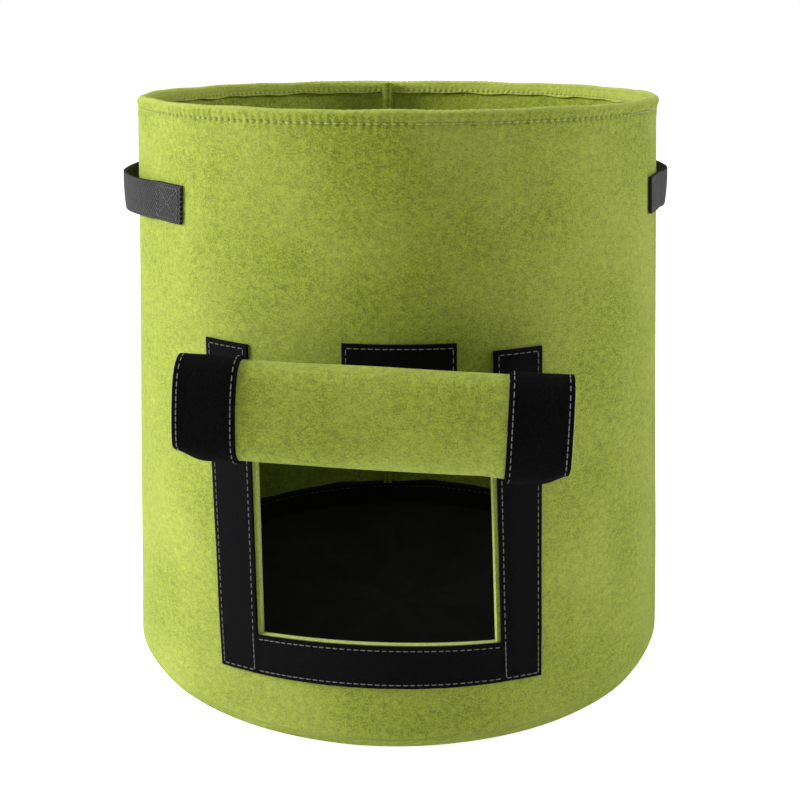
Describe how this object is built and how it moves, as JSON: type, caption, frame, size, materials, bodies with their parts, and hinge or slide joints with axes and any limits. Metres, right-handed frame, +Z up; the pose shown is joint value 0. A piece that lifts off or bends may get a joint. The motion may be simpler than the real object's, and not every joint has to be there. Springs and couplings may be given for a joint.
{
  "type": "fabric grow bag",
  "caption": "Round felt plant bag with a sewn base, webbing handles, and a front window whose felt flap rolls up and is held by hook-and-loop tape.",
  "frame": {"origin": "on the floor, under the middle of the round base", "axes": "+Z up along the bag's axis; the window faces -Y; +X to the right of a person facing the window"},
  "size_m": [0.3234, 0.355, 0.328],
  "materials": {
    "green_felt": "matte needle-punched felt, fuzzy",
    "black_felt": "matte needle-punched felt",
    "hook_tape": "hook side of hook-and-loop tape, faint ribs",
    "loop_tape": "loop side of hook-and-loop tape, brushed pile",
    "webbing": "woven webbing, dull sheen",
    "green_thread": "twisted sewing thread",
    "grey_thread": "twisted sewing thread",
    "black_thread": "twisted sewing thread"
  },
  "bodies": {
    "bag": {"side_wall": "green_felt", "base_panel": "black_felt", "base_lip_stitching": "black_thread", "rim_hem": "green_felt", "rim_hem_stitching": "green_thread", "back_seam_allowance": "green_felt", "back_seam_stitching": "green_thread", "window_hook_tape_left": "hook_tape", "window_hook_tape_right": "hook_tape", "window_hook_tape_bottom": "hook_tape", "window_tape_stitching": "grey_thread", "roll_holding_patch": "hook_tape", "roll_patch_stitching": "grey_thread", "flap_sewn_strip": "green_felt", "flap_strip_stitching": "green_thread", "left_handle_ends": "webbing", "left_handle_stitching": "black_thread", "right_handle_ends": "webbing", "right_handle_stitching": "black_thread"},
    "flap_section_1": {"flap_felt_1": "green_felt", "flap_loop_tape_1": "loop_tape"},
    "flap_section_2": {"flap_felt_2": "green_felt", "flap_loop_tape_2": "loop_tape"},
    "flap_section_3": {"flap_felt_3": "green_felt", "flap_loop_tape_3": "loop_tape"},
    "flap_section_4": {"flap_felt_4": "green_felt", "flap_loop_tape_4": "loop_tape"},
    "flap_section_5": {"flap_felt_5": "green_felt", "flap_loop_tape_5": "loop_tape"},
    "flap_section_6": {"flap_felt_6": "green_felt", "flap_loop_tape_6": "loop_tape"},
    "flap_section_7": {"flap_felt_7": "green_felt", "flap_loop_tape_7": "loop_tape"},
    "flap_section_8": {"flap_felt_8": "green_felt", "flap_loop_tape_8": "loop_tape", "flap_loop_tape_bottom": "loop_tape"},
    "left_loop": {"left_handle_loop": "webbing"},
    "right_loop": {"right_handle_loop": "webbing"}
  },
  "joints": [
    {"name": "flap_lift", "type": "hinge", "parent": "bag", "child": "flap_section_1", "pos_m": [0.0015, -0.16264, 0.1738], "axis": [-0.9994, 0, 0.0349], "range_deg": [0, 10]},
    {"name": "flap_unroll", "type": "hinge", "parent": "flap_section_1", "child": "flap_section_2", "pos_m": [0.00129, -0.16286, 0.16781], "axis": [0.9994, 0, -0.0349], "range_deg": [0, 60]},
    {"name": "flap_bend_2", "type": "hinge", "parent": "flap_section_2", "child": "flap_section_3", "pos_m": [0.00105, -0.17612, 0.16079], "axis": [0.9994, 0, -0.0349], "range_deg": [0, 60]},
    {"name": "flap_bend_3", "type": "hinge", "parent": "flap_section_3", "child": "flap_section_4", "pos_m": [0.00132, -0.18882, 0.16876], "axis": [0.9994, 0, -0.0349], "range_deg": [0, 60]},
    {"name": "flap_bend_4", "type": "hinge", "parent": "flap_section_4", "child": "flap_section_5", "pos_m": [0.00253, -0.18756, 0.20322], "axis": [0.9994, 0, -0.0349], "range_deg": [0, 60]},
    {"name": "flap_bend_5", "type": "hinge", "parent": "flap_section_5", "child": "flap_section_6", "pos_m": [0.00271, -0.1774, 0.20859], "axis": [0.9994, 0, -0.0349], "range_deg": [0, 60]},
    {"name": "flap_bend_6", "type": "hinge", "parent": "flap_section_6", "child": "flap_section_7", "pos_m": [0.0025, -0.16765, 0.20249], "axis": [0.9994, 0, -0.0349], "range_deg": [0, 60]},
    {"name": "flap_bend_7", "type": "hinge", "parent": "flap_section_7", "child": "flap_section_8", "pos_m": [0.00173, -0.16846, 0.18051], "axis": [0.9994, 0, -0.0349], "range_deg": [0, 150]},
    {"name": "left_handle_swing", "type": "hinge", "parent": "bag", "child": "left_loop", "pos_m": [-0.13501, -0.03117, 0.276], "axis": [-0.225, 0.9744, 0], "range_deg": [-8, 12]},
    {"name": "right_handle_swing", "type": "hinge", "parent": "bag", "child": "right_loop", "pos_m": [0.13501, 0.03117, 0.276], "axis": [0.225, -0.9744, 0], "range_deg": [-8, 12]}
  ],
  "couplings": [
    {"joint": "flap_bend_2", "follows": "flap_unroll", "ratio": 1},
    {"joint": "flap_bend_3", "follows": "flap_unroll", "ratio": 1},
    {"joint": "flap_bend_4", "follows": "flap_unroll", "ratio": 1},
    {"joint": "flap_bend_5", "follows": "flap_unroll", "ratio": 1},
    {"joint": "flap_bend_6", "follows": "flap_unroll", "ratio": 1},
    {"joint": "flap_bend_7", "follows": "flap_unroll", "ratio": 2.5}
  ]
}
